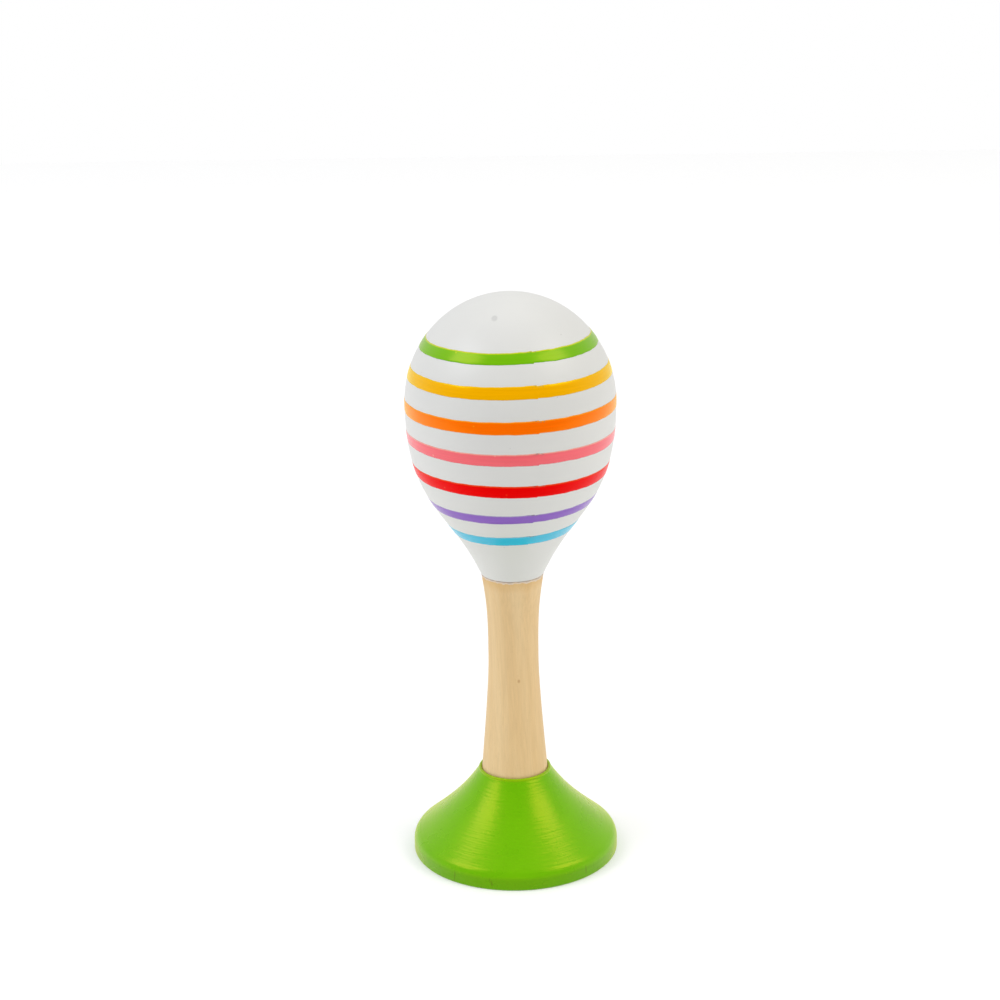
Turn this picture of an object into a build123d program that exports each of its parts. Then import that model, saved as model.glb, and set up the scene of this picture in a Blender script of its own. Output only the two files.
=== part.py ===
from build123d import *

import os
from math import hypot, radians, sin, cos, sqrt

# A wooden baby rattle of the maraca kind, 155.6 mm tall, standing on its own foot.
# It is turned in four pieces of wood: a hollow head in two glued shells, a waisted handle
# and a flared foot. Two fluted dowels join the handle to the head and to the foot, and
# steel balls lie loose in the head's chamber, where they rattle.
# Frame: +Z up along the lathe axis, origin at the centre of the foot's underside.

# ---- Driving dimensions, in millimetres ----

# Foot
foot_radius = 27.9
foot_height = 24.0
foot_edge_round = 0.6  # bottom edge
foot_side_height = 2.9  # top of the straight side
foot_shoulder_radius = 3.7
foot_shoulder_slope = 39.5  # degrees below the horizontal, where the flare meets the shoulder
foot_flare_lean = 33.0  # degrees off the vertical, at the top rim
foot_flare_upper_reach = 8.65  # how far the flare keeps its top direction
foot_flare_lower_reach = 9.8  # how far it keeps its shoulder direction
rim_width = 0.5  # flat ring round the handle's socket
rim_round = 0.22
socket_depth = 2.0  # seat for the handle's end
underside_recess_radius = 20.0
underside_recess_depth = 1.2

# Handle
handle_end_radius = 8.9
handle_waist_radius = 6.75
handle_waist_height = 56.0
handle_top_radius = 8.35
handle_lower_slope = -0.085  # change of radius with height at the foot
handle_upper_slope = 0.17  # and at the head
handle_lower_reach = 7.75  # heights over which those slopes and the waist hold
handle_upper_reach = 9.75
handle_end_chamfer = 0.3

# Head
neck_height = 80.0  # where the head sits on the handle
neck_radius = 8.4
neck_lean = 23.4  # degrees off the vertical, at the neck
neck_reach = 20.6
belly_radius = 27.5
belly_height = 127.0  # widest ring, and the seam between the two shells
belly_reach = 27.0
dome_rise = 28.6
dome_fullness = 0.5523  # control reach, as a share of each half axis: this makes an ellipse
neck_edge_round = 0.25

# Chamber inside the head, cut with one round-nosed tool in each shell
chamber_radius = 22.0
chamber_floor = 96.0
lip_height = 3.0  # rabbet that centres the upper shell on the lower one
lip_thickness = 2.4
lip_side_gap = 0.1
lip_top_gap = 0.2

# Fluted dowels
dowel_radius = 4.0
dowel_hole_radius = 4.05
dowel_chamfer = 0.8
flute_count = 12
flute_radius = 0.35
neck_dowel_length = 34.0
foot_dowel_length = 30.0
foot_dowel_base = 7.5  # height of its lower end
glue_pocket = 1.0  # free depth left past each dowel's end

# Rattle balls, one layer packed in a hexagon on the chamber's floor
ball_radius = 2.5
ball_pitch = 5.06
ball_rings = 2
wall_gap = 0.05

# ---- Worked out from those ----

top_height = belly_height + dome_rise
chamber_low_centre = chamber_floor + chamber_radius
lip_top = belly_height + lip_height
lip_outer_radius = chamber_radius + lip_thickness
recess_top = lip_top + lip_top_gap
recess_radius = lip_outer_radius + lip_side_gap
recess_mouth_radius = sqrt(chamber_radius**2 - (recess_top - belly_height) ** 2)
handle_seat = foot_height - socket_depth
socket_radius = handle_end_radius + 0.1
rim_radius = socket_radius + rim_width
neck_dowel_base = chamber_floor - neck_dowel_length
foot_dowel_top = foot_dowel_base + foot_dowel_length
ball_reach = chamber_radius - ball_radius - wall_gap


def from_point(start, reach, degrees_off_vertical, downwards=False):
    """The point at a reach from start, leaning outwards from the axis by that angle."""
    lean = radians(degrees_off_vertical)
    rise = -cos(lean) if downwards else cos(lean)
    return (start[0] + reach * sin(lean), start[1] + reach * rise)


def ball_places():
    """X, Y of each ball: a hexagonal lattice of ball_rings rings round the axis."""
    places = []
    for row in range(-ball_rings, ball_rings + 1):
        for column in range(-ball_rings, ball_rings + 1):
            if abs(row + column) <= ball_rings:
                x = ball_pitch * (column + row / 2)
                y = ball_pitch * row * sqrt(3) / 2
                places.append((x, y))
    return sorted(places, key=lambda place: (round(hypot(*place), 3), place))


def ball_rest_height(place):
    """Height of a ball's centre where it lies on the chamber's round floor."""
    return chamber_low_centre - sqrt(ball_reach**2 - hypot(*place) ** 2)


def ball_travel(place):
    """How far a ball moves from the floor to the underside of the dome."""
    ceiling = belly_height + sqrt(ball_reach**2 - hypot(*place) ** 2)
    return ceiling - ball_rest_height(place)


# ---- Foot: turned, with a socket for the handle and a hollowed underside ----

shoulder_lean = radians(foot_shoulder_slope)
shoulder_centre_radius = foot_radius - foot_shoulder_radius
flare_top = (rim_radius, foot_height)
flare_end = (
    shoulder_centre_radius + foot_shoulder_radius * sin(shoulder_lean),
    foot_side_height + foot_shoulder_radius * cos(shoulder_lean),
)
flare_upper_control = from_point(flare_top, foot_flare_upper_reach, foot_flare_lean, True)
flare_lower_control = (
    flare_end[0] - foot_flare_lower_reach * cos(shoulder_lean),
    flare_end[1] + foot_flare_lower_reach * sin(shoulder_lean),
)

with BuildPart() as foot:
    with BuildSketch(Plane.XZ):
        with BuildLine():
            Bezier(flare_top, flare_upper_control, flare_lower_control, flare_end)
            CenterArc(
                (shoulder_centre_radius, foot_side_height),
                foot_shoulder_radius,
                0,
                90 - foot_shoulder_slope,
            )
            Polyline(
                (foot_radius, foot_side_height),
                (foot_radius, 0),
                (underside_recess_radius, 0),
                (underside_recess_radius - underside_recess_depth, underside_recess_depth),
                (0, underside_recess_depth),
                (0, handle_seat),
                (socket_radius, handle_seat),
                (socket_radius, foot_height),
                flare_top,
            )
        make_face()
    revolve(axis=Axis.Z)
    with Locations((0, 0, handle_seat)):
        Hole(dowel_hole_radius, handle_seat - foot_dowel_base + glue_pocket)
    base_edges = foot.edges().filter_by(GeomType.CIRCLE).group_by(Axis.Z)[0]
    fillet(base_edges.sort_by(SortBy.RADIUS)[-1], foot_edge_round)
    rim_edges = foot.edges().filter_by(GeomType.CIRCLE).group_by(Axis.Z)[-1]
    fillet(rim_edges, rim_round)

# ---- Handle: turned with a waist, bored at both ends for a dowel ----

waist = (handle_waist_radius, handle_waist_height)
handle_foot_control = (
    handle_end_radius + handle_lower_slope * handle_lower_reach,
    foot_height + handle_lower_reach,
)
handle_head_control = (
    handle_top_radius - handle_upper_slope * handle_upper_reach,
    neck_height - handle_upper_reach,
)

with BuildPart() as handle:
    with BuildSketch(Plane.XZ):
        with BuildLine():
            Line((0, handle_seat), (handle_end_radius, handle_seat))
            Line((handle_end_radius, handle_seat), (handle_end_radius, foot_height))
            Bezier(
                (handle_end_radius, foot_height),
                handle_foot_control,
                (handle_waist_radius, handle_waist_height - handle_lower_reach),
                waist,
            )
            Bezier(
                waist,
                (handle_waist_radius, handle_waist_height + handle_upper_reach),
                handle_head_control,
                (handle_top_radius, neck_height),
            )
            Line((handle_top_radius, neck_height), (0, neck_height))
            Line((0, neck_height), (0, handle_seat))
        make_face()
    revolve(axis=Axis.Z)
    handle_ends = handle.edges().filter_by(GeomType.CIRCLE).group_by(Axis.Z)
    chamfer([handle_ends[0], handle_ends[-1]], handle_end_chamfer)
    with Locations((0, 0, neck_height)):
        Hole(dowel_hole_radius, neck_height - neck_dowel_base + glue_pocket)
    with Locations(Location((0, 0, handle_seat), (180, 0, 0))):
        Hole(dowel_hole_radius, foot_dowel_top - handle_seat + glue_pocket)

# ---- Head, lower shell: neck, belly and the chamber's floor, with the rabbet's lip ----

neck_foot = (neck_radius, neck_height)
belly = (belly_radius, belly_height)
chamber_floor_edge = (
    dowel_hole_radius,
    chamber_low_centre - sqrt(chamber_radius**2 - dowel_hole_radius**2),
)

with BuildPart() as head_lower_shell:
    with BuildSketch(Plane.XZ):
        with BuildLine():
            Bezier(
                neck_foot,
                from_point(neck_foot, neck_reach, neck_lean),
                (belly_radius, belly_height - belly_reach),
                belly,
            )
            Polyline(
                belly,
                (lip_outer_radius, belly_height),
                (lip_outer_radius, lip_top),
                (chamber_radius, lip_top),
                (chamber_radius, chamber_low_centre),
            )
            RadiusArc((chamber_radius, chamber_low_centre), chamber_floor_edge, chamber_radius)
            Polyline(chamber_floor_edge, (dowel_hole_radius, neck_height), neck_foot)
        make_face()
    revolve(axis=Axis.Z)
    neck_edges = head_lower_shell.edges().filter_by(GeomType.CIRCLE).group_by(Axis.Z)[0]
    fillet(neck_edges.sort_by(SortBy.RADIUS)[-1], neck_edge_round)

# ---- Head, upper shell: the dome, with the recess that takes the lip ----

dome_side_control = (belly_radius, belly_height + dome_fullness * dome_rise)
dome_top_control = (dome_fullness * belly_radius, top_height)

with BuildPart() as head_upper_shell:
    with BuildSketch(Plane.XZ):
        with BuildLine():
            Bezier(belly, dome_side_control, dome_top_control, (0, top_height))
            Line((0, top_height), (0, belly_height + chamber_radius))
            RadiusArc(
                (0, belly_height + chamber_radius),
                (recess_mouth_radius, recess_top),
                chamber_radius,
            )
            Polyline(
                (recess_mouth_radius, recess_top),
                (recess_radius, recess_top),
                (recess_radius, belly_height),
                belly,
            )
        make_face()
    revolve(axis=Axis.Z)


# ---- Dowels ----


def fluted_dowel(base, length):
    """A hardwood dowel with chamfered ends and glue flutes along it."""
    with BuildPart(Plane.XY.offset(base)) as dowel:
        Cylinder(dowel_radius, length, align=(Align.CENTER, Align.CENTER, Align.MIN))
        chamfer(dowel.edges().filter_by(GeomType.CIRCLE), dowel_chamfer)
        with PolarLocations(dowel_radius, flute_count):
            Cylinder(
                flute_radius,
                length,
                align=(Align.CENTER, Align.CENTER, Align.MIN),
                mode=Mode.SUBTRACT,
            )
    return dowel


neck_dowel = fluted_dowel(neck_dowel_base, neck_dowel_length)
foot_dowel = fluted_dowel(foot_dowel_base, foot_dowel_length)

# ---- Rattle balls ----


def rattle_ball(place):
    """One steel ball lying on the chamber's floor."""
    with BuildPart() as ball:
        with Locations((*place, ball_rest_height(place))):
            Sphere(ball_radius)
    return ball


pieces = {
    "foot": foot,
    "handle": handle,
    "head_lower_shell": head_lower_shell,
    "head_upper_shell": head_upper_shell,
    "neck_dowel": neck_dowel,
    "foot_dowel": foot_dowel,
}
for number, place in enumerate(ball_places(), start=1):
    pieces[f"rattle_ball_{number:02d}"] = rattle_ball(place)

os.makedirs("parts", exist_ok=True)
for name, piece in pieces.items():
    piece.part.label = name
    export_step(piece.part, f"parts/{name}.step")
    print(name, "volume", round(piece.part.volume), "mm3")
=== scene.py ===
# %% [markdown]
# # A wooden maraca rattle, from its engineering frame to its finish
#
# The rattle is turned on a lathe in four pieces: a hollow head in two glued shells, a waisted
# handle and a flared foot. The head is sprayed white and carries seven painted bands, the handle
# is bare wood and the foot is lacquered green. Inside are two fluted dowels and a layer of steel
# balls. The frame that is loaded first holds every one of those parts at its real size. This
# lesson remakes the turned pieces as clean lathe meshes, lays the paint on them, and gives
# every surface the finish of the real material.

# %% Load the frame
import math

import bpy
from mathutils import Matrix, Vector, noise


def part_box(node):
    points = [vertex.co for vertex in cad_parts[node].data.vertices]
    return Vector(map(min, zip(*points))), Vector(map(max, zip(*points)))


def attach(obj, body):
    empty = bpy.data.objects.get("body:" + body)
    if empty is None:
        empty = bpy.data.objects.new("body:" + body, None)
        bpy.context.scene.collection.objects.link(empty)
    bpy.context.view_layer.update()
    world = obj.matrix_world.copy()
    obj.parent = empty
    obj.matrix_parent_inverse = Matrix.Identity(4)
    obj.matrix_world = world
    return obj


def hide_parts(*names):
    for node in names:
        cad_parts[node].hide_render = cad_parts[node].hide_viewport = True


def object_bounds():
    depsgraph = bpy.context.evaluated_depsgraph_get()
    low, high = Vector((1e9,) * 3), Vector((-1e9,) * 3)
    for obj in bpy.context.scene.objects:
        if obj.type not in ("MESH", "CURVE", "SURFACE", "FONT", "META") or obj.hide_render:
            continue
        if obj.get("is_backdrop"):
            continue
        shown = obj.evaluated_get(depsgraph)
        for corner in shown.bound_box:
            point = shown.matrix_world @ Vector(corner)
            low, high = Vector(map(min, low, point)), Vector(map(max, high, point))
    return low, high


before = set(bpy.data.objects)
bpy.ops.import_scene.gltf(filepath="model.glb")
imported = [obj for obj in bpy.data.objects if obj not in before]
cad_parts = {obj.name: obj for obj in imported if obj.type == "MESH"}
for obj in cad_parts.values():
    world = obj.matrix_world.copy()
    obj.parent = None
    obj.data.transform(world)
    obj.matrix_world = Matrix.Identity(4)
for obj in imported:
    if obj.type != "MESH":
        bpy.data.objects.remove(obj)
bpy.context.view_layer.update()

# %% [markdown]
# ## Working in millimetres
#
# Blender's unit here is the metre, but a turner thinks in millimetres. Every size below is a
# number of millimetres times MM. The frame is asked for the few sizes that tie this model to it:
# how tall the rattle is and how wide its head and foot are.

# %% Sizes that come from the frame
MM = 0.001

dome_low, dome_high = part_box("head_upper_shell")
bowl_low, bowl_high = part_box("head_lower_shell")
grip_low, grip_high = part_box("handle")
foot_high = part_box("foot")[1]

belly_radius = dome_high.x / MM
belly_height = dome_low.z / MM
top_height = dome_high.z / MM
neck_height = bowl_low.z / MM
lip_top = bowl_high.z / MM
handle_seat = grip_low.z / MM
handle_end_radius = grip_high.x / MM
foot_radius = foot_high.x / MM
foot_height = foot_high.z / MM
print("head", 2 * belly_radius, "mm across, foot", 2 * foot_radius, "mm, height", top_height, "mm")

# %% [markdown]
# ## The camera
#
# A small toy is shown for a catalogue from a little above, with a long lens, so that its outline
# is hardly distorted. The distance, height and tilt below are those of a camera on a tripod about
# 0.6 m away. The camera leans by less than one degree, which is common when it is set by hand and
# makes the toy seem to lean the other way.

# %% Place the camera
camera_offset, camera_distance, camera_height = -3.05, 578.8, 286.8
camera_pitch, camera_lean = 17.88, -0.8
lens_length, sensor_width = 83.16, 36
view_limit = 20  # metres

camera = bpy.data.objects.new("camera", bpy.data.cameras.new("camera"))
bpy.context.scene.collection.objects.link(camera)
camera.data.sensor_width = sensor_width
camera.data.lens = lens_length
camera.data.clip_end = view_limit
tilt = Matrix.Rotation(math.radians(90 - camera_pitch), 4, "X")
lean = Matrix.Rotation(math.radians(camera_lean), 4, "Z")
place = Vector((camera_offset * MM, -camera_distance * MM, camera_height * MM))
camera.matrix_world = Matrix.Translation(place) @ tilt @ lean
bpy.context.scene.camera = camera
print("camera at", [round(v / MM) for v in camera.location], "mm")

# %% [markdown]
# ## One small tool for materials
#
# A material in Blender is a graph of nodes. This function adds one node, sets its properties and
# fills its inputs: an input that is given another node's output is linked to it, and any other
# value is set on the socket. An input is asked for by its name, or by its number where two share
# a name: in a Mix node, 0 is the share and 6 and 7 are the two colours. A second function turns a
# colour written as on screen into the linear numbers that the renderer works with.

# %% Helpers for nodes and colours
def add_node(tree, kind, inputs=None, **properties):
    """Adds a node to a tree, with its properties, values and links."""
    node = tree.nodes.new(kind)
    for name, value in properties.items():
        setattr(node, name, value)
    for name, value in (inputs or {}).items():
        if isinstance(value, bpy.types.NodeSocket):
            tree.links.new(value, node.inputs[name])
        else:
            node.inputs[name].default_value = value
    return node


def linear(colour):
    """A hex colour such as "#d9bb8a" as linear red, green, blue and alpha."""
    parts = [int(colour[place:place + 2], 16) / 255 for place in (1, 3, 5)]
    return (*[p / 12.92 if p <= 0.04045 else ((p + 0.055) / 1.055) ** 2.4 for p in parts], 1)


def new_material(name):
    """An empty material with its shader, its output and object coordinates in millimetres."""
    material = bpy.data.materials.new(name)
    material.use_nodes = True
    tree = material.node_tree
    tree.nodes.clear()
    place = add_node(tree, "ShaderNodeTexCoord").outputs["Object"]
    place = add_node(tree, "ShaderNodeVectorMath", {0: place, "Scale": 1 / MM}, operation="SCALE")
    shader = add_node(tree, "ShaderNodeBsdfPrincipled")
    add_node(tree, "ShaderNodeOutputMaterial", {"Surface": shader.outputs[0]})
    return material, tree, place.outputs[0], shader


print("mid grey on screen is", round(linear("#808080")[0], 3), "of the light of white")

# %% [markdown]
# ## Floor, room and lamps
#
# The rattle stands on a sheet of white acrylic that is lit a little from below, as on a light
# table, so that its shadow stays faint. Two softboxes hang high, one on each side, and make the
# two tall highlights on the glossy paint. The left one is a touch cooler than the right one. The
# pale room fills the shadows and is a little dimmer in front, where the camera stands. The camera
# itself sees pure white beyond the sheet. Each lamp is placed by its bearing from the toy, and its
# brightness is given as radiance, so that its size can change without changing how bright its
# reflection is.

# %% [markdown]
# ### The sheet
#
# One plane is enough for the floor. It glows a little, because light-table acrylic is lit from
# underneath. An evenly lit sheet could also be made with a lamp below it, but a weak emission on
# the same material looks the same and renders with less noise.

# %% Lay the sheet
sheet_width, sheet_front, sheet_glow = 1.4, 0.25, 0.28
bpy.ops.object.select_all(action="DESELECT")
bpy.ops.mesh.primitive_plane_add(
    size=sheet_width, location=(0, sheet_width / 2 - sheet_front, 0))
sheet = bpy.context.object
sheet.name = "white_sheet"
acrylic, *_, acrylic_shader = new_material("matte_white_acrylic")
acrylic_shader.inputs["Base Color"].default_value = linear("#dcdcdc")
acrylic_shader.inputs["Roughness"].default_value = 0.9
acrylic_shader.inputs["Specular IOR Level"].default_value = 0.2
acrylic_shader.inputs["Emission Color"].default_value = (1, 1, 1, 1)
acrylic_shader.inputs["Emission Strength"].default_value = sheet_glow
sheet.data.materials.append(acrylic)
sheet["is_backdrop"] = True
print("sheet", sheet_width, "m wide")

# %% [markdown]
# ### The softboxes
#
# A softbox is a lamp behind a sheet of white cloth, so an area lamp of the same size stands for
# it. It hangs 2 m away. That far off, the light falls almost as strongly on the foot as on the
# head, which is how a toy is lit for a catalogue. A third, weak one hangs overhead.

# %% Hang the softboxes
lamp_distance, aim_height = 2000, 85
toy_middle = Vector((0, 0, aim_height * MM))


def softbox(name, bearing, elevation, width, height, radiance, colour):
    """A soft lamp at a bearing from the front and an elevation, both in degrees, facing the toy."""
    light = bpy.data.lights.new(name, "AREA")
    light.shape = "RECTANGLE"
    light.size, light.size_y = width * MM, height * MM
    light.energy = radiance * math.pi * light.size * light.size_y
    light.color = linear(colour)[:3]
    lamp = bpy.data.objects.new(name, light)
    bpy.context.scene.collection.objects.link(lamp)
    turn, rise = math.radians(bearing), math.radians(elevation)
    away = Vector((
        math.sin(turn) * math.cos(rise), -math.cos(turn) * math.cos(rise), math.sin(rise)))
    lamp.location = toy_middle + away * lamp_distance * MM
    lamp.rotation_euler = (-away).to_track_quat("-Z", "Y").to_euler()
    lamp.visible_camera = False
    print(name, "at", [round(v / MM) for v in lamp.location], "mm,", round(light.energy, 1), "W")
    return lamp


softbox("softbox_left", -72, 43, 1130, 980, 3.85, "#f3f6ff")
softbox("softbox_right", 69, 43, 1130, 980, 3.3, "#fffaf0")
softbox("softbox_top", 180, 78, 1550, 1100, 0.4, "#ffffff")

# %% [markdown]
# ### The room
#
# The rest of the room is the world shader. Its brightness depends on the direction: the wall in
# front of the toy, behind the camera, is a little dimmer than the sides. A sky image could do
# this too, but two numbers are easier to change.

# %% Paint the room
front_brightness, side_brightness = 0.65, 0.8
front_edge, side_edge = -0.8, -0.25  # how far a direction points to the front, which is -1

studio = bpy.data.worlds.new("studio")
bpy.context.scene.world = studio
studio.use_nodes = True
studio_tree = studio.node_tree
studio_tree.nodes.clear()
look = add_node(studio_tree, "ShaderNodeTexCoord").outputs["Generated"]
look = add_node(studio_tree, "ShaderNodeSeparateXYZ", {0: look}).outputs
glow = add_node(
    studio_tree, "ShaderNodeMapRange",
    {"Value": look["Y"], "From Min": front_edge, "From Max": side_edge,
     "To Min": front_brightness, "To Max": side_brightness},
    interpolation_type="SMOOTHSTEP").outputs[0]
seen = add_node(studio_tree, "ShaderNodeLightPath").outputs["Is Camera Ray"]
glow = add_node(studio_tree, "ShaderNodeMath", {0: seen, 1: glow}, operation="MAXIMUM")
walls = add_node(
    studio_tree, "ShaderNodeBackground", {"Color": (1, 1, 1, 1), "Strength": glow.outputs[0]})
add_node(studio_tree, "ShaderNodeOutputWorld", {"Surface": walls.outputs[0]})
bpy.context.scene.view_settings.view_transform = "Standard"
print("room", front_brightness, "in front,", side_brightness, "at the sides")

# %% [markdown]
# ## How to turn a piece on the lathe
#
# A turned piece is a flat outline swept once round the axis. Here the outline is drawn as a
# turner's template would be: a list of radius and height pairs in which the long curves come
# from Bezier curves and the rounded corners from arcs, so that only their control points are
# chosen. The spin operator then sweeps it. A full turn leaves its first and last ring on top of
# each other and the points on the axis repeated, so doubles are merged, and the normals are
# recalculated before anything else is done.

# %% Outline helpers
def arc(centre, radius, start, end, count=6):
    """Points on a circle, from one angle to another in degrees."""
    angles = [math.radians(start + (end - start) * i / count) for i in range(count + 1)]
    return [(centre[0] + radius * math.cos(a), centre[1] + radius * math.sin(a)) for a in angles]


def bezier(start, first, second, end, count=36):
    """Points on a cubic Bezier curve."""
    points = []
    for i in range(count + 1):
        t = i / count
        weights = ((1 - t) ** 3, 3 * t * (1 - t) ** 2, 3 * t * t * (1 - t), t ** 3)
        knots = (start, first, second, end)
        points.append(tuple(sum(w * k[axis] for w, k in zip(weights, knots)) for axis in (0, 1)))
    return points


def towards(start, reach, degrees):
    """The point at a reach from start. The angle is counted from the radius direction."""
    angle = math.radians(degrees)
    return (start[0] + reach * math.cos(angle), start[1] + reach * math.sin(angle))


print("a quarter arc has", len(arc((0, 0), 1, 0, 90)), "points")

# %% [markdown]
# ### The lathe itself
#
# Blender's Screw modifier could turn the outline as well. The spin operator is chosen because the
# mesh that it leaves can be checked and finished at once. The outline is drawn by extruding one
# point from place to place, just as it would be by hand.

# %% The lathe
lathe_steps = 180
crease_angle = 32  # degrees: a sharper edge stays sharp when the piece is shaded smooth
weld_distance = 0.001  # millimetres: points closer than this become one


def spun(name, outline):
    """Draws an outline of (radius, height) points in mm and spins it once round the axis."""
    bpy.ops.object.select_all(action="DESELECT")
    bpy.ops.mesh.primitive_plane_add(size=MM)
    piece = bpy.context.object
    piece.name = piece.data.name = name
    bpy.ops.object.mode_set(mode="EDIT")
    bpy.ops.mesh.select_all(action="SELECT")
    bpy.ops.mesh.merge(type="CENTER")
    bpy.ops.transform.translate(value=(outline[0][0] * MM, 0, outline[0][1] * MM))
    for here, there in zip(outline, outline[1:]):
        step = ((there[0] - here[0]) * MM, 0, (there[1] - here[1]) * MM)
        bpy.ops.mesh.extrude_vertices_move(TRANSFORM_OT_translate={"value": step})
    bpy.ops.mesh.select_all(action="SELECT")
    bpy.ops.mesh.spin(steps=lathe_steps, angle=math.tau, center=(0, 0, 0), axis=(0, 0, 1))
    bpy.ops.mesh.select_all(action="SELECT")
    bpy.ops.mesh.remove_doubles(threshold=weld_distance * MM)
    bpy.ops.mesh.normals_make_consistent(inside=False)
    bpy.ops.object.mode_set(mode="OBJECT")
    bpy.ops.object.shade_smooth_by_angle(angle=math.radians(crease_angle))
    print(name, "has", len(piece.data.polygons), "faces")
    return piece


print("one turn of the lathe is", lathe_steps, "steps")

# %% [markdown]
# ### Paint on one part of a piece
#
# Most turned pieces are painted only where the spray reaches. The painted faces are picked by
# their distance from the axis, their height and the way they face, so the choice holds when the
# mesh gets finer or coarser.

# %% Finishing part of a piece
on_axis = 0.001  # millimetres: a face on the axis is taken to be this far out


def finish(piece, material, chosen=None):
    """Gives a material to the whole piece, or to the faces whose radius, height and normal fit."""
    piece.data.materials.append(material)
    index = len(piece.data.materials) - 1
    painted = 0
    for face in piece.data.polygons if chosen else ():
        centre = face.center / MM
        radius = math.hypot(centre.x, centre.y)
        outward = (face.normal.x * centre.x + face.normal.y * centre.y) / max(radius, on_axis)
        if chosen(radius, centre.z, outward, face.normal.z):
            face.material_index = index
            painted += 1
    print(material.name, "on", painted if chosen else "all", "faces of", piece.name)


# %% [markdown]
# ## Finishes
#
# ### White nursery enamel
#
# The head is limewood, sanded, sealed and sprayed with a satin water-based enamel. The eye sees
# an almost even white, with three faint things in it: fine rings left by sanding on the lathe, a
# soft orange peel from the spray gun, and a few specks of dust. A dimple on the dome, where the
# enamel dried over a pit, is only painted shade: a pale grey spot, with no dent in the surface.

# %% White nursery enamel
dimple_place = (-3.8, -12.6, 152.1)


def white_enamel():
    """Satin white spray enamel over sanded limewood."""
    material, tree, place, shader = new_material("white_nursery_enamel")
    # broad unevenness of the coat, about 12 mm across
    cloud = add_node(tree, "ShaderNodeTexNoise", {"Vector": place, "Scale": 0.08, "Detail": 3.0})
    # sanding rings: noise squeezed along the axis, 0.7 mm apart
    flat = add_node(tree, "ShaderNodeMapping", {"Vector": place, "Scale": (0.04, 0.04, 1.4)})
    rings = add_node(tree, "ShaderNodeTexNoise", {"Vector": flat.outputs[0], "Scale": 1.0})
    # orange peel, 0.9 mm across
    peel = add_node(tree, "ShaderNodeTexNoise", {"Vector": place, "Scale": 1.1, "Detail": 1.0})
    # dust, a few specks up to 0.4 mm across
    dust = add_node(tree, "ShaderNodeTexVoronoi", {"Vector": place, "Scale": 0.16})
    speck = add_node(
        tree, "ShaderNodeMapRange",
        {"Value": dust.outputs["Distance"], "From Min": 0.035, "From Max": 0.02, "To Max": 0.35})
    # painted shade for the dimple in the dome, about 1.6 mm across, as distance from its middle
    dimple = add_node(
        tree, "ShaderNodeVectorMath", {0: place, 1: dimple_place}, operation="SUBTRACT")
    dimple = add_node(
        tree, "ShaderNodeVectorMath", {0: dimple.outputs[0], 1: (1.0, 0.72, 0.72)},
        operation="MULTIPLY")
    dimple = add_node(
        tree, "ShaderNodeVectorMath", {0: dimple.outputs[0]}, operation="LENGTH")
    dimple_shade = add_node(
        tree, "ShaderNodeMapRange",
        {"Value": dimple.outputs["Value"], "From Min": 1.0, "From Max": 0.5},
        interpolation_type="SMOOTHSTEP")
    coat = add_node(
        tree, "ShaderNodeMix",
        {0: cloud.outputs[0], 6: linear("#d3d3d0"), 7: linear("#d9d9d5")}, data_type="RGBA")
    dusty = add_node(
        tree, "ShaderNodeMix",
        {0: speck.outputs[0], 6: coat.outputs[2], 7: linear("#8f8b84")}, data_type="RGBA")
    # painted shade: half of the dimple's pale grey is mixed in where the dent's shade would fall
    dimple_shade_share = add_node(tree, "ShaderNodeMath", {0: dimple_shade.outputs[0], 1: 0.5}, operation="MULTIPLY")
    spotted = add_node(
        tree, "ShaderNodeMix",
        {0: dimple_shade_share.outputs[0], 6: dusty.outputs[2], 7: linear("#b4b4b2")}, data_type="RGBA")
    ring_bump = add_node(
        tree, "ShaderNodeBump",
        {"Height": rings.outputs[0], "Strength": 0.25, "Distance": 0.02 * MM})
    peel_bump = add_node(
        tree, "ShaderNodeBump",
        {"Height": peel.outputs[0], "Strength": 0.3, "Distance": 0.02 * MM,
         "Normal": ring_bump.outputs[0]})
    gloss = add_node(
        tree, "ShaderNodeMapRange", {"Value": cloud.outputs[0], "To Min": 0.34, "To Max": 0.46})
    tree.links.new(spotted.outputs[2], shader.inputs["Base Color"])
    tree.links.new(gloss.outputs[0], shader.inputs["Roughness"])
    tree.links.new(peel_bump.outputs[0], shader.inputs["Normal"])
    shader.inputs["IOR"].default_value = 1.49
    return material


enamel = white_enamel()
print(enamel.name)

# %% [markdown]
# ### Bare limewood
#
# The handle is pale, close-grained wood such as lime or birch, sanded and left bare. Seen near,
# it has long faint grain lines that follow the axis a little askew, fine pores and flecks, and
# one pin knot. Wood is a solid, so its grain is made in three dimensions, with the noise drawn
# out along the axis, and shows rings on the end faces as real wood does. Right under the head
# the wood is stained by glue, with a thin bead of glue and white paint in the joint. Above that,
# on the handle's top chamfer, a grey-mauve tint is painted shade for the gap under the head. The
# joint's layers are tints that start at a height, and noise makes that height waver round the
# handle.

# %% Bare limewood
joint_waver = 1.2  # millimetres: with the noise, a layer starts up to this much lower
glue_and_gap_shade_layers = [
    # the heights where a layer starts and is full, its share and its colour
    (neck_height - 3.0, neck_height - 0.1, 0.4, "#d0a055"),
    (neck_height - 0.1, neck_height + 0.05, 0.6, "#ddd5cc"),
    # painted shade: this top layer is the dark gap between head and handle, put on the handle's
    # chamfer
    (neck_height + 0.25, neck_height + 0.4, 0.5, "#a89c98"),
]
knot_place = (1.3, -6.7, 51.3)


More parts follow.
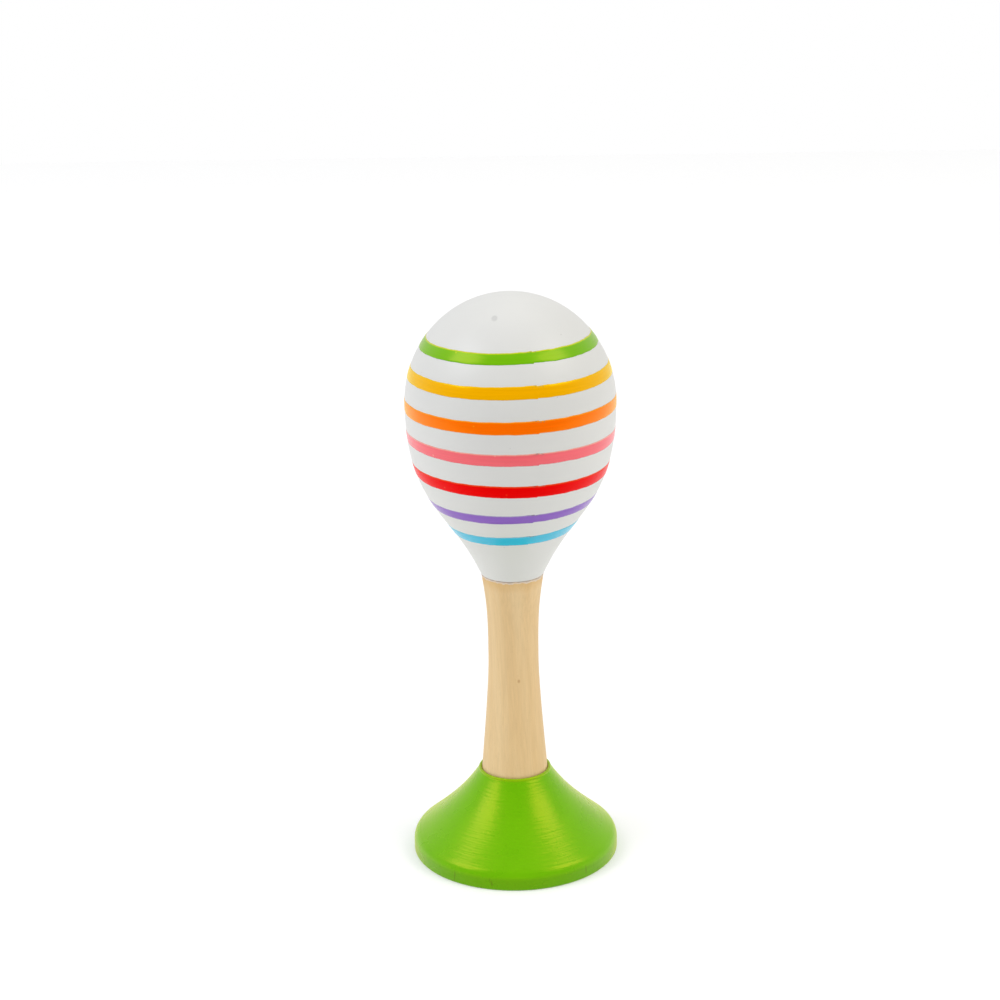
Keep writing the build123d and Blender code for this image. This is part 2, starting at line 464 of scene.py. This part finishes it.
def bare_wood(name, pale, dark, joined=False):
    """Pale hardwood with its grain along the axis. The handle's has a knot, a glued joint and
    painted shade in the gap under the head.
    """
    material, tree, place, shader = new_material(name)
    askew = add_node(
        tree, "ShaderNodeMapping", {"Vector": place, "Rotation": (0.03, 0.05, 0.0)})
    # growth rings, drawn as noise 3 mm wide and 90 mm long
    stretch = add_node(
        tree, "ShaderNodeMapping", {"Vector": askew.outputs[0], "Scale": (0.32, 0.32, 0.011)})
    growth = add_node(
        tree, "ShaderNodeTexNoise", {"Vector": stretch.outputs[0], "Scale": 1.0, "Detail": 3.0})
    # fibres 0.35 mm wide and 9 mm long
    thread = add_node(
        tree, "ShaderNodeMapping", {"Vector": askew.outputs[0], "Scale": (2.8, 2.8, 0.11)})
    fibre = add_node(
        tree, "ShaderNodeTexNoise", {"Vector": thread.outputs[0], "Scale": 1.0, "Detail": 4.0})
    # pores 0.25 mm wide and 1.2 mm long, drawn coarser than life so that they show
    pore_place = add_node(
        tree, "ShaderNodeMapping", {"Vector": askew.outputs[0], "Scale": (4.0, 4.0, 0.9)})
    pores = add_node(
        tree, "ShaderNodeTexNoise", {"Vector": pore_place.outputs[0], "Scale": 1.0, "Detail": 2.0})
    ring_tone = add_node(
        tree, "ShaderNodeMapRange",
        {"Value": growth.outputs[0], "From Min": 0.36, "From Max": 0.66})
    base = add_node(
        tree, "ShaderNodeMix",
        {0: ring_tone.outputs[0], 6: linear(pale), 7: linear(dark)}, data_type="RGBA")
    fibre_tone = add_node(
        tree, "ShaderNodeMapRange",
        {"Value": fibre.outputs[0], "From Min": 0.35, "From Max": 0.65,
         "To Min": 0.96, "To Max": 1.03})
    pore_tone = add_node(
        tree, "ShaderNodeMapRange",
        {"Value": pores.outputs[0], "From Min": 0.62, "From Max": 0.74,
         "To Min": 1.0, "To Max": 0.93})
    tone = add_node(
        tree, "ShaderNodeMath", {0: fibre_tone.outputs[0], 1: pore_tone.outputs[0]},
        operation="MULTIPLY")
    colour = add_node(
        tree, "ShaderNodeVectorMath", {0: base.outputs[2], "Scale": tone.outputs[0]},
        operation="SCALE").outputs[0]
    if joined:
        # a pin knot 0.5 mm across, drawn out along the grain
        near = add_node(
            tree, "ShaderNodeVectorMath", {0: place, 1: knot_place}, operation="SUBTRACT")
        oval = add_node(
            tree, "ShaderNodeVectorMath", {0: near.outputs[0], 1: (1.0, 1.0, 0.7)},
            operation="MULTIPLY")
        reach = add_node(
            tree, "ShaderNodeVectorMath", {0: oval.outputs[0]}, operation="LENGTH")
        knot = add_node(
            tree, "ShaderNodeMapRange",
            {"Value": reach.outputs["Value"], "From Min": 0.5, "From Max": 0.15, "To Max": 0.5},
            interpolation_type="SMOOTHSTEP")
        colour = add_node(
            tree, "ShaderNodeMix", {0: knot.outputs[0], 6: colour, 7: linear("#a8703a")},
            data_type="RGBA").outputs[2]
        # the joint under the head: amber glue stain, a bead of glue and paint, then painted shade
        # for the dark gap
        waver = add_node(tree, "ShaderNodeTexNoise", {"Vector": place, "Scale": 0.7})
        height = add_node(tree, "ShaderNodeSeparateXYZ", {0: place}).outputs["Z"]
        height = add_node(
            tree, "ShaderNodeMath", {0: waver.outputs[0], 1: joint_waver, 2: height},
            operation="MULTIPLY_ADD").outputs[0]
        for start, end, share, tint in glue_and_gap_shade_layers:
            layer = add_node(
                tree, "ShaderNodeMapRange",
                {"Value": height, "From Min": start, "From Max": end, "To Max": share})
            colour = add_node(
                tree, "ShaderNodeMix", {0: layer.outputs[0], 6: colour, 7: linear(tint)},
                data_type="RGBA").outputs[2]
    fibre_bump = add_node(
        tree, "ShaderNodeBump",
        {"Height": fibre.outputs[0], "Strength": 0.35, "Distance": 0.04 * MM})
    gloss = add_node(
        tree, "ShaderNodeMapRange", {"Value": fibre.outputs[0], "To Min": 0.48, "To Max": 0.62})
    tree.links.new(colour, shader.inputs["Base Color"])
    tree.links.new(gloss.outputs[0], shader.inputs["Roughness"])
    tree.links.new(fibre_bump.outputs[0], shader.inputs["Normal"])
    shader.inputs["IOR"].default_value = 1.45
    return material


handle_wood = bare_wood("sanded_limewood", "#e1c392", "#dbba86", joined=True)
raw_wood = bare_wood("raw_turned_limewood", "#d6b588", "#c9a26e")
dowel_wood = bare_wood("fluted_beech", "#cda274", "#b98655")
print(handle_wood.name, raw_wood.name, dowel_wood.name)

# %% [markdown]
# ### Green lacquer
#
# The foot is dipped or sprayed with a bright green lacquer, thicker and glossier than the white.
# The lathe's fine tool rings still show through it as thin horizontal lines in the highlights,
# with a slight orange peel over them. The film mirrors the lamps with a yellow tinge, because
# their light passes through clear green lacquer. Only at a glancing angle does it mirror the pale
# wall untinted.

# %% Green lacquer
low_band_top, low_band_full = 4.2, 2.8  # the heights where the darker low band begins and where it is full
# painted highlight: the heights where the lighter, yellower rim colour starts and is full
rim_highlight_start, rim_highlight_full = foot_height - 0.8, foot_height - 0.4


def green_lacquer():
    """Semi-gloss green lacquer over turned wood, with tool rings showing through."""
    material, tree, place, shader = new_material("green_foot_lacquer")
    parts = add_node(tree, "ShaderNodeSeparateXYZ", {0: place}).outputs
    # the tool's path down the flare: radius minus height, with a ring about every 0.7 mm
    flat_place = add_node(tree, "ShaderNodeCombineXYZ", {"X": parts["X"], "Y": parts["Y"]})
    radius = add_node(
        tree, "ShaderNodeVectorMath", {0: flat_place.outputs[0]}, operation="LENGTH")
    path = add_node(
        tree, "ShaderNodeMath", {0: radius.outputs["Value"], 1: parts["Z"]}, operation="SUBTRACT")
    track = add_node(
        tree, "ShaderNodeCombineXYZ",
        {"X": parts["X"], "Y": parts["Y"], "Z": path.outputs[0]})
    track = add_node(
        tree, "ShaderNodeMapping", {"Vector": track.outputs[0], "Scale": (0.16, 0.16, 1.4)})
    rings = add_node(
        tree, "ShaderNodeTexNoise", {"Vector": track.outputs[0], "Scale": 1.0, "Detail": 1.0})
    peel = add_node(tree, "ShaderNodeTexNoise", {"Vector": place, "Scale": 0.9, "Detail": 0.0})
    cloud = add_node(tree, "ShaderNodeTexNoise", {"Vector": place, "Scale": 0.12, "Detail": 3.0})
    coat = add_node(
        tree, "ShaderNodeMix",
        {0: cloud.outputs[0], 6: linear("#52ac00"), 7: linear("#60b600")}, data_type="RGBA")
    # the green turns darker towards the bottom of the foot
    low_band = add_node(
        tree, "ShaderNodeMapRange",
        {"Value": parts["Z"], "From Min": low_band_top, "From Max": low_band_full, "To Max": 0.85},
        interpolation_type="SMOOTHSTEP")
    deep = add_node(
        tree, "ShaderNodeMix",
        {0: low_band.outputs[0], 6: coat.outputs[2], 7: linear("#3f9c00")}, data_type="RGBA")
    # painted highlight: the rolled rim is painted lighter and yellower where the light catches it
    rim = add_node(
        tree, "ShaderNodeMapRange",
        {"Value": parts["Z"], "From Min": rim_highlight_start, "From Max": rim_highlight_full, "To Max": 0.5})
    thin = add_node(
        tree, "ShaderNodeMix",
        {0: rim.outputs[0], 6: deep.outputs[2], 7: linear("#93b800")}, data_type="RGBA")
    # nicks: torn fibres on the upright side, 0.3 mm wide, and a few pits up to 0.6 mm across
    fibre = add_node(
        tree, "ShaderNodeMapping",
        {"Vector": place, "Location": (3.7, 1.9, 0.0), "Scale": (1.4, 1.4, 0.22)})
    tears = add_node(
        tree, "ShaderNodeTexNoise", {"Vector": fibre.outputs[0], "Scale": 1.0, "Detail": 0.0})
    tear = add_node(
        tree, "ShaderNodeMapRange",
        {"Value": tears.outputs[0], "From Min": 0.72, "From Max": 0.8, "To Max": 0.8})
    tear = add_node(
        tree, "ShaderNodeMath", {0: tear.outputs[0], 1: low_band.outputs[0]}, operation="MULTIPLY")
    holes = add_node(tree, "ShaderNodeTexVoronoi", {"Vector": place, "Scale": 0.17})
    hole = add_node(
        tree, "ShaderNodeMapRange",
        {"Value": holes.outputs["Distance"], "From Min": 0.05, "From Max": 0.03, "To Max": 0.7})
    mark = add_node(
        tree, "ShaderNodeMath", {0: tear.outputs[0], 1: hole.outputs[0]}, operation="MAXIMUM")
    marked = add_node(
        tree, "ShaderNodeMix",
        {0: mark.outputs[0], 6: thin.outputs[2], 7: linear("#2a7400")}, data_type="RGBA")
    ring_bump = add_node(
        tree, "ShaderNodeBump",
        {"Height": rings.outputs[0], "Strength": 0.5, "Distance": 0.14 * MM})
    peel_bump = add_node(
        tree, "ShaderNodeBump",
        {"Height": peel.outputs[0], "Strength": 0.4, "Distance": 0.04 * MM,
         "Normal": ring_bump.outputs[0]})
    gloss = add_node(
        tree, "ShaderNodeMapRange", {"Value": cloud.outputs[0], "To Min": 0.22, "To Max": 0.34})
    tree.links.new(marked.outputs[2], shader.inputs["Base Color"])
    tree.links.new(gloss.outputs[0], shader.inputs["Roughness"])
    tree.links.new(peel_bump.outputs[0], shader.inputs["Normal"])
    shader.inputs["IOR"].default_value = 1.5
    shader.inputs["Specular IOR Level"].default_value = 1.0
    shader.inputs["Specular Tint"].default_value = (1.0, 0.6, 0.06, 1)
    shader.inputs["Sheen Weight"].default_value = 0.6
    shader.inputs["Sheen Roughness"].default_value = 0.4
    shader.inputs["Sheen Tint"].default_value = (1.0, 0.9, 0.0, 1)
    return material


foot_lacquer = green_lacquer()
print(foot_lacquer.name)

# %% [markdown]
# ### Band lacquers
#
# Each band is one stroke of glossy lacquer, laid with a loaded brush while the head turns on the
# lathe. The brush leaves fine streaks round the head, and the coat is thinner at its upper edge,
# where the white shines through. Dust settles where the stroke overlaps its own start. Two
# numbers are stored on the mesh for this: across runs from -1 at the lower edge to 1 at the upper
# one, and past_lap is the distance in millimetres from the overlap.

# %% Band lacquers
def band_lacquer(name, body, thin, tint, gloss_level, haze):
    """Glossy brushed lacquer that thins to a second colour at the upper edge."""
    material, tree, place, shader = new_material(name)
    across = add_node(tree, "ShaderNodeAttribute", attribute_name="across").outputs["Fac"]
    past_lap = add_node(tree, "ShaderNodeAttribute", attribute_name="past_lap").outputs["Fac"]
    # brush streaks, 0.25 mm apart and tens of millimetres long
    streak = add_node(tree, "ShaderNodeMapping", {"Vector": place, "Scale": (0.05, 0.05, 4.0)})
    streaks = add_node(
        tree, "ShaderNodeTexNoise", {"Vector": streak.outputs[0], "Scale": 1.0, "Detail": 3.0})
    patch = add_node(tree, "ShaderNodeTexNoise", {"Vector": place, "Scale": 0.25, "Detail": 2.0})
    upper = add_node(
        tree, "ShaderNodeMapRange",
        {"Value": across, "From Min": 0.7, "From Max": 0.95, "To Max": 0.9},
        interpolation_type="SMOOTHSTEP")
    tone = add_node(
        tree, "ShaderNodeMapRange",
        {"Value": streaks.outputs[0], "From Min": 0.3, "From Max": 0.7,
         "To Min": 0.94, "To Max": 1.05})
    edged = add_node(
        tree, "ShaderNodeMix",
        {0: upper.outputs[0], 6: linear(body), 7: linear(thin)}, data_type="RGBA")
    toned = add_node(
        tree, "ShaderNodeVectorMath", {0: edged.outputs[2], "Scale": tone.outputs[0]},
        operation="SCALE")
    # pinholes in the film, up to 0.6 mm across
    holes = add_node(tree, "ShaderNodeTexVoronoi", {"Vector": place, "Scale": 0.3})
    hole = add_node(
        tree, "ShaderNodeMapRange",
        {"Value": holes.outputs["Distance"], "From Min": 0.09, "From Max": 0.05, "To Max": 0.6})
    holed = add_node(
        tree, "ShaderNodeMix",
        {0: hole.outputs[0], 6: toned.outputs[0], 7: linear(thin)}, data_type="RGBA")
    # grey dust caught at the upper edge where the stroke overlaps itself
    rough = add_node(tree, "ShaderNodeTexNoise", {"Vector": place, "Scale": 2.5, "Detail": 2.0})
    crumbs = add_node(
        tree, "ShaderNodeMapRange",
        {"Value": rough.outputs[0], "From Min": 0.5, "From Max": 0.6, "To Max": 0.7})
    near = add_node(
        tree, "ShaderNodeMapRange",
        {"Value": past_lap, "From Min": 2.2, "From Max": 1.0}, interpolation_type="SMOOTHSTEP")
    rim = add_node(tree, "ShaderNodeMapRange", {"Value": across, "From Min": 0.6, "From Max": 0.9})
    dust = add_node(
        tree, "ShaderNodeMath", {0: near.outputs[0], 1: rim.outputs[0]}, operation="MULTIPLY")
    dust = add_node(
        tree, "ShaderNodeMath", {0: dust.outputs[0], 1: crumbs.outputs[0]}, operation="MULTIPLY")
    dusty = add_node(
        tree, "ShaderNodeMix",
        {0: dust.outputs[0], 6: holed.outputs[2], 7: linear("#6f6a5e")}, data_type="RGBA")
    bump = add_node(
        tree, "ShaderNodeBump",
        {"Height": streaks.outputs[0], "Strength": 0.4, "Distance": 0.03 * MM})
    gloss = add_node(
        tree, "ShaderNodeMapRange", {"Value": patch.outputs[0], "To Min": 0.16, "To Max": 0.28})
    tree.links.new(dusty.outputs[2], shader.inputs["Base Color"])
    tree.links.new(gloss.outputs[0], shader.inputs["Roughness"])
    tree.links.new(bump.outputs[0], shader.inputs["Normal"])
    shader.inputs["IOR"].default_value = 1.5
    shader.inputs["Specular IOR Level"].default_value = gloss_level
    shader.inputs["Specular Tint"].default_value = tint
    shader.inputs["Sheen Weight"].default_value = haze
    shader.inputs["Sheen Roughness"].default_value = 0.6
    shader.inputs["Sheen Tint"].default_value = tint
    return material


# %% [markdown]
# ### Polished steel
#
# The balls are hardened bearing steel, ground and tumbled to a mirror finish. They are a metal,
# so their colour is the colour of their reflection, and tumbling leaves very faint scuffs.

# %% Polished steel
def polished_steel():
    """Tumbled bearing steel."""
    material, tree, place, shader = new_material("polished_bearing_steel")
    scuff = add_node(tree, "ShaderNodeTexNoise", {"Vector": place, "Scale": 3.0, "Detail": 4.0})
    gloss = add_node(
        tree, "ShaderNodeMapRange", {"Value": scuff.outputs[0], "To Min": 0.08, "To Max": 0.2})
    tree.links.new(gloss.outputs[0], shader.inputs["Roughness"])
    shader.inputs["Base Color"].default_value = linear("#c6c7ca")
    shader.inputs["Metallic"].default_value = 1.0
    return material


steel = polished_steel()
print(steel.name)

# %% [markdown]
# ## The head
#
# The head is an egg that narrows to a neck. Its lower outline is one Bezier curve from the neck
# to the widest ring, and the dome is a quarter ellipse. Both shells are hollow: the same
# round-nosed tool of 22 mm radius cut the chamber in each, and a thin lip on the lower shell
# sits in a recess of the upper one, so that the two are centred when they are glued. The faces
# that the spray gun reached are white, and the inside is raw wood.

# %% Head sizes
neck_radius, neck_lean, neck_reach = 8.4, 23.4, 20.6
neck_edge_round = 0.25
belly_reach = 27.0
ellipse_reach = 0.5523  # the share of its radius that a Bezier handle needs to draw an ellipse
chamber_radius, chamber_low_centre = 22.0, 118.0
lip_radius, recess_gap, recess_depth = 24.4, 0.1, 3.2
bore_radius = 4.05

neck = (neck_radius, neck_height)
belly = (belly_radius, belly_height)
lower_outline = bezier(
    neck, towards(neck, neck_reach, 90 - neck_lean),
    (belly_radius, belly_height - belly_reach), belly, count=56)
dome_rise = top_height - belly_height
upper_outline = bezier(
    belly, (belly_radius, belly_height + ellipse_reach * dome_rise),
    (ellipse_reach * belly_radius, top_height), (0, top_height), count=44)
print("head outline", len(lower_outline) + len(upper_outline), "points")

# %% [markdown]
# ### The lower shell
#
# The outline starts at the neck's edge, climbs the outside to the belly, steps over the lip and
# comes down the chamber to the dowel's bore. One closed outline gives inside and outside in one
# spin. Two spun skins with a Solidify wall between them would not give the true chamber.

# %% Turn the lower shell
spray_margin = 1.0  # millimetres by which a sprayed face must look away from the belly's middle
seam_margin = 0.01  # millimetres: keeps the glued faces of the seam bare
flat_end = -0.97  # a face that points down more than this is the neck's flat end, which is bare


def sprayed(radius, height, outward, upward):
    """Whether a face of the head looks away from its middle, as those do that the spray reached."""
    return outward * radius + upward * (height - belly_height) > spray_margin


chamber_mouth = math.degrees(math.acos(bore_radius / chamber_radius))
corner = (neck_radius - neck_edge_round, neck_height + neck_edge_round)
bowl_outline = (
    arc(corner, neck_edge_round, -90, -10, count=4)
    + lower_outline[1:]
    + [(lip_radius, belly_height), (lip_radius, lip_top), (chamber_radius, lip_top)]
    + arc((0, chamber_low_centre), chamber_radius, 0, -chamber_mouth, count=32)
    + [(bore_radius, neck_height), (corner[0], neck_height)])
head_bowl = spun("head_bowl", bowl_outline)
finish(head_bowl, raw_wood)
finish(
    head_bowl, enamel,
    lambda radius, height, outward, upward:
        height < belly_height - seam_margin and upward > flat_end
        and sprayed(radius, height, outward, upward))

# %% [markdown]
# ### The dome
#
# The dome is made the same way, from its top down the outside, round the recess for the lip and
# up the inside of the chamber.

# %% Turn the dome
recess_radius, recess_top = lip_radius + recess_gap, belly_height + recess_depth
recess_mouth = math.degrees(math.asin(recess_depth / chamber_radius))
dome_outline = (
    upper_outline[::-1]
    + [(recess_radius, belly_height), (recess_radius, recess_top)]
    + arc((0, belly_height), chamber_radius, recess_mouth, 90, count=28))
head_dome = spun("head_dome", dome_outline)
finish(head_dome, raw_wood)
finish(head_dome, enamel, sprayed)

# %% [markdown]
# ## The handle
#
# The handle is widest where it enters the foot and narrowest at its waist. Two Bezier curves
# that meet upright at the waist make one smooth outline. Both ends are bored for a dowel, and
# their edges are broken by a small chamfer.

# %% Turn the handle
waist_radius, waist_height = 6.75, 56.0
grip_top_radius = 8.35
foot_slope, head_slope = -0.085, 0.17
lower_reach, upper_reach = 7.75, 9.75
end_chamfer, end_taper = 0.3, 0.05
neck_bore_floor, foot_bore_roof = 61.0, 38.5

waist = (waist_radius, waist_height)
grip_lower = bezier(
    (handle_end_radius, foot_height),
    (handle_end_radius + foot_slope * lower_reach, foot_height + lower_reach),
    (waist_radius, waist_height - lower_reach), waist, count=30)
grip_upper = bezier(
    waist, (waist_radius, waist_height + upper_reach),
    (grip_top_radius - head_slope * upper_reach, neck_height - upper_reach),
    (grip_top_radius, neck_height), count=24)
last_ring = (grip_top_radius - end_taper, neck_height - end_chamfer)
handle_outline = (
    [(0, foot_bore_roof), (bore_radius, foot_bore_roof), (bore_radius, handle_seat),
     (handle_end_radius - end_chamfer, handle_seat), (handle_end_radius, handle_seat + end_chamfer)]
    + grip_lower + grip_upper[1:-1]
    + [last_ring, (grip_top_radius - end_chamfer, neck_height), (bore_radius, neck_height),
       (bore_radius, neck_bore_floor), (0, neck_bore_floor)])
grip = spun("turned_grip", handle_outline)
finish(grip, handle_wood)

# %% [markdown]
# ## The foot
#
# The foot is a low bell. From the floor up: a rounded bottom edge, a short straight side, a
# shoulder with a radius of 3.7 mm, and a hollow flare that rises to a thin rolled rim round the
# handle. The underside is hollowed by about a millimetre so that the toy stands on a ring and
# does not rock. The hollow and the socket stay raw wood.

# %% Turn the foot
edge_round, side_height, shoulder_radius, shoulder_slope = 0.6, 2.9, 3.7, 39.5
flare_lean, flare_upper_reach, flare_lower_reach = 33.0, 8.4, 9.8
rim_roll, rim_centre_drop, rim_crease = 0.42, 0.42, 25
recess_edge, recess_rise = 20.0, 1.2
socket_bore_floor, socket_gap = 6.5, 0.1
lacquer_depth = 0.8  # how far the lacquer runs down inside the socket
hollow_margin, wall_margin = 0.1, 0.01  # millimetres, so that the raw faces are all caught

socket_radius = handle_end_radius + socket_gap
rim_centre = (socket_radius + rim_roll, foot_height - rim_centre_drop)
flare_top = towards(rim_centre, rim_roll, -rim_crease)
shoulder_centre = (foot_radius - shoulder_radius, side_height)
flare_end = towards(shoulder_centre, shoulder_radius, 90 - shoulder_slope)
flare = bezier(
    flare_end, towards(flare_end, flare_lower_reach, 180 - shoulder_slope),
    towards(flare_top, flare_upper_reach, flare_lean - 90), flare_top, count=40)
foot_outline = (
    [(0, recess_rise), (recess_edge - recess_rise, recess_rise), (recess_edge, 0)]
    + arc((foot_radius - edge_round, edge_round), edge_round, -90, 0, count=5)
    + arc(shoulder_centre, shoulder_radius, 0, 90 - shoulder_slope, count=10)
    + flare[1:]
    + arc(rim_centre, rim_roll, -rim_crease, 180, count=10)[1:]
    + [(socket_radius, handle_seat), (bore_radius, handle_seat),
       (bore_radius, socket_bore_floor), (0, socket_bore_floor)])
bell_foot = spun("bell_foot", foot_outline)
finish(bell_foot, foot_lacquer)
finish(
    bell_foot, raw_wood,
    lambda radius, height, outward, upward:
        (radius < recess_edge and height < recess_rise + hollow_margin)
        or (radius < socket_radius + wall_margin and height < foot_height - lacquer_depth))

# %% [markdown]
# ## The painted bands
#
# A band is a film of paint about a tenth of a millimetre thick that follows the head. Each is
# made like masking tape: a flat strip of fine quads is wrapped once round the head and closed on
# itself. One direction of the strip runs round the head, and the other runs round the film's
# own thin section, so the result is a closed ring. The brush wandered, so both edges stray by
# about two tenths of a millimetre, and each stroke starts and ends with a small step at its lap.
# The head sat a little askew on the spindle, so the bands lean, by up to two degrees.

# %% The head's radius at any height
head_outline = lower_outline + upper_outline[1:]


def head_surface(height):
    """Radius of the head at a height, and the outward normal as (radius part, height part)."""
    for (r0, z0), (r1, z1) in zip(head_outline, head_outline[1:]):
        if z0 <= height <= z1:
            length = math.hypot(r1 - r0, z1 - z0)
            radius = r0 + (r1 - r0) * (height - z0) / (z1 - z0)
            return radius, (z1 - z0) / length, (r0 - r1) / length
    raise ValueError(height)


print("radius at 100 mm:", round(head_surface(100)[0], 2))

# %% [markdown]
# ### One band
#
# A band could be a texture on the head, but then its edge would have no thickness and would blur
# in a close view. A film with its own mesh catches the light along its edge as real paint does,
# and it can carry its own gloss. It reaches 0.03 mm into the head, so that no gap shows under it.

# %% Wrap a band
film_depth, film_height = 0.03, 0.07  # how deep it reaches into the head, and how far it stands
film_rows, film_steps = 14, 720
film_weld = 0.0005  # millimetres: points closer than this become one
lap_bearing = 15  # degrees from the front, where each stroke starts and ends
lap_turn = math.radians(lap_bearing - 90)
lap_start_fade, lap_end_fade = 0.12, 0.05  # radians over which the steps at the lap die away
lower_step, upper_step = 0.12, -0.1  # millimetres by which the edges step at the lap
first_seed, next_seed, upper_seed = 0.7, 3.1, 7  # so that no two edges wander alike
wander = [(1.3, 0.16), (9, 0.09), (42, 0.04)]  # waviness of the noise, and its reach in mm


def stray(seed, turn, lap):
    """How far an edge of the band wanders at a turn, in millimetres."""
    ring = Vector((math.cos(turn), math.sin(turn), 0))
    reach = 0
    for axis, (waviness, most) in enumerate(wander):
        shift = Vector((0, 0, 0))
        shift[axis] = seed
        reach += most * noise.noise(ring * waviness + shift)
    past_lap = (turn - lap_turn) % math.tau
    step = (
        math.exp(-past_lap / lap_start_fade) - math.exp(-(math.tau - past_lap) / lap_end_fade))
    return reach + lap * step


def painted_band(name, low, high, leaning, material, seed):
    """Wraps a thin film of paint round the head, between two heights in millimetres."""
    bpy.ops.object.select_all(action="DESELECT")
    bpy.ops.mesh.primitive_grid_add(
        x_subdivisions=film_steps, y_subdivisions=film_rows, size=2)
    band = bpy.context.object
    band.name = band.data.name = name
    across = band.data.attributes.new("across", "FLOAT", "POINT")
    past_lap = band.data.attributes.new("past_lap", "FLOAT", "POINT")
    slope = math.tan(math.radians(leaning))
    for point in band.data.vertices:
        # the strip's length becomes the turn round the head, and its width the way round the
        # film's section: up the outer face first, then down the one that is inside the head
        turn, section = point.co.x * math.pi, (point.co.y + 1) * math.pi
        share = -math.cos(section)
        bulge = math.sqrt(abs(math.sin(section))) * (1 if section <= math.pi else -1)
        bottom = low + stray(seed, turn, lower_step)
        top = high + stray(seed + upper_seed, turn, upper_step)
        middle, half = (bottom + top) / 2, (top - bottom) / 2
        height = middle + half * share
        radius = head_surface(height)[0]
        height += slope * radius * math.cos(turn)
        radius, out, up = head_surface(height)
        depth = film_height * bulge if bulge > 0 else film_depth * bulge
        away = radius + depth * out
        point.co = Vector((away * math.cos(turn), away * math.sin(turn), height + depth * up)) * MM
        across.data[point.index].value = share
        past_lap.data[point.index].value = away * abs(math.remainder(turn - lap_turn, math.tau))
    bpy.ops.object.mode_set(mode="EDIT")
    bpy.ops.mesh.select_all(action="SELECT")
    bpy.ops.mesh.remove_doubles(threshold=film_weld * MM)
    bpy.ops.mesh.normals_make_consistent(inside=False)
    bpy.ops.object.mode_set(mode="OBJECT")
    bpy.ops.object.shade_smooth()
    finish(band, material)
    print(name, "from", low, "to", high, "mm:", len(band.data.polygons), "faces")
    return band


print("each band is a strip of", film_steps, "by", film_rows, "quads")

# %% [markdown]
# ### Seven bands
#
# Each row below is one pot of lacquer and one place on the head. The last three columns belong to
# the finish: the tint of the gloss, how glossy the dry film is, and how much light it scatters at
# a glancing angle. The strong colours have a tinted gloss, because the lamp's light passes through
# their clear pigment.

# %% Paint all seven
plain = (1, 1, 1, 1)
band_list = [
    # colour, lower and upper height, lean, body, thin edge, tint of the gloss, gloss, haze
    ("green", 142.6, 145.25, 1.0, "#63b500", "#d6d428", (1.0, 0.7, 0.1, 1), 0.7, 0.2),
    ("yellow", 134.55, 137.6, 0.9, "#f0a200", "#f2b40a", (1.0, 1.0, 0.0, 1), 0.9, 0.6),
    ("orange", 125.85, 129.1, 0.65, "#ff5200", "#fc8c20", (1.0, 0.85, 0.0, 1), 0.9, 0.55),
    ("pink", 117.5, 120.6, 0.05, "#f04856", "#f0a08e", plain, 0.9, 0.15),
    ("red", 108.5, 111.85, -0.25, "#ec0000", "#ee5a2c", (1.0, 0.0, 0.0, 1), 0.15, 0.4),
    ("purple", 100.35, 102.9, 1.2, "#8250b8", "#a58fc6", plain, 0.5, 0.0),
    ("blue", 92.7, 95.6, 1.85, "#24b8d8", "#5cc4d8", plain, 0.5, 0.0),
]
bands = {}
for order, (colour, low, high, leaning, body, thin, *gloss) in enumerate(band_list):
    lacquer = band_lacquer(f"brushed_{colour}_lacquer", body, thin, *gloss)
    bands[colour] = painted_band(
        f"paint_band_{colour}", low, high, leaning, lacquer, next_seed * order + first_seed)

# %% [markdown]
# ## Inside the toy
#
# The dowels and the balls keep their exact shapes from the frame, because a dowel's flutes and a
# ball's roundness are already right. They only need their materials.

# %% Finish the dowels and the balls
inner_parts = {"neck_dowel": dowel_wood, "foot_dowel": dowel_wood}
inner_parts.update(
    {name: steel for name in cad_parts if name.startswith("rattle_ball")})
for name, material in inner_parts.items():
    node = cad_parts[name]
    node.data.materials.clear()
    node.data.materials.append(material)
print(len(inner_parts), "inner parts finished")

# %% [markdown]
# ## Tie the looks to the frame
#
# Every remade piece hides the engineered part that it stands for and rides on the rattle's body.
# The balls keep riding on their own slides.

# %% Ride and replace
remade = [
    (head_dome, "head_upper_shell", "white_head"),
    (head_bowl, "head_lower_shell", "white_head"),
    (grip, "handle", "bare_handle_wood"),
    (bell_foot, "foot", "green_foot"),
]
for piece, node, slot in remade:
    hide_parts(node)
    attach(piece, "rattle")
for colour, band in bands.items():
    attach(band, "rattle")
print(len(remade) + len(bands), "pieces ride on the rattle")

# %% [markdown]
# ## The finished size
#
# The finished pieces must fill the same box as the engineered ones. Here the box of the finished
# scene is measured.

# %% Measure the finished size
low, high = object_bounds()
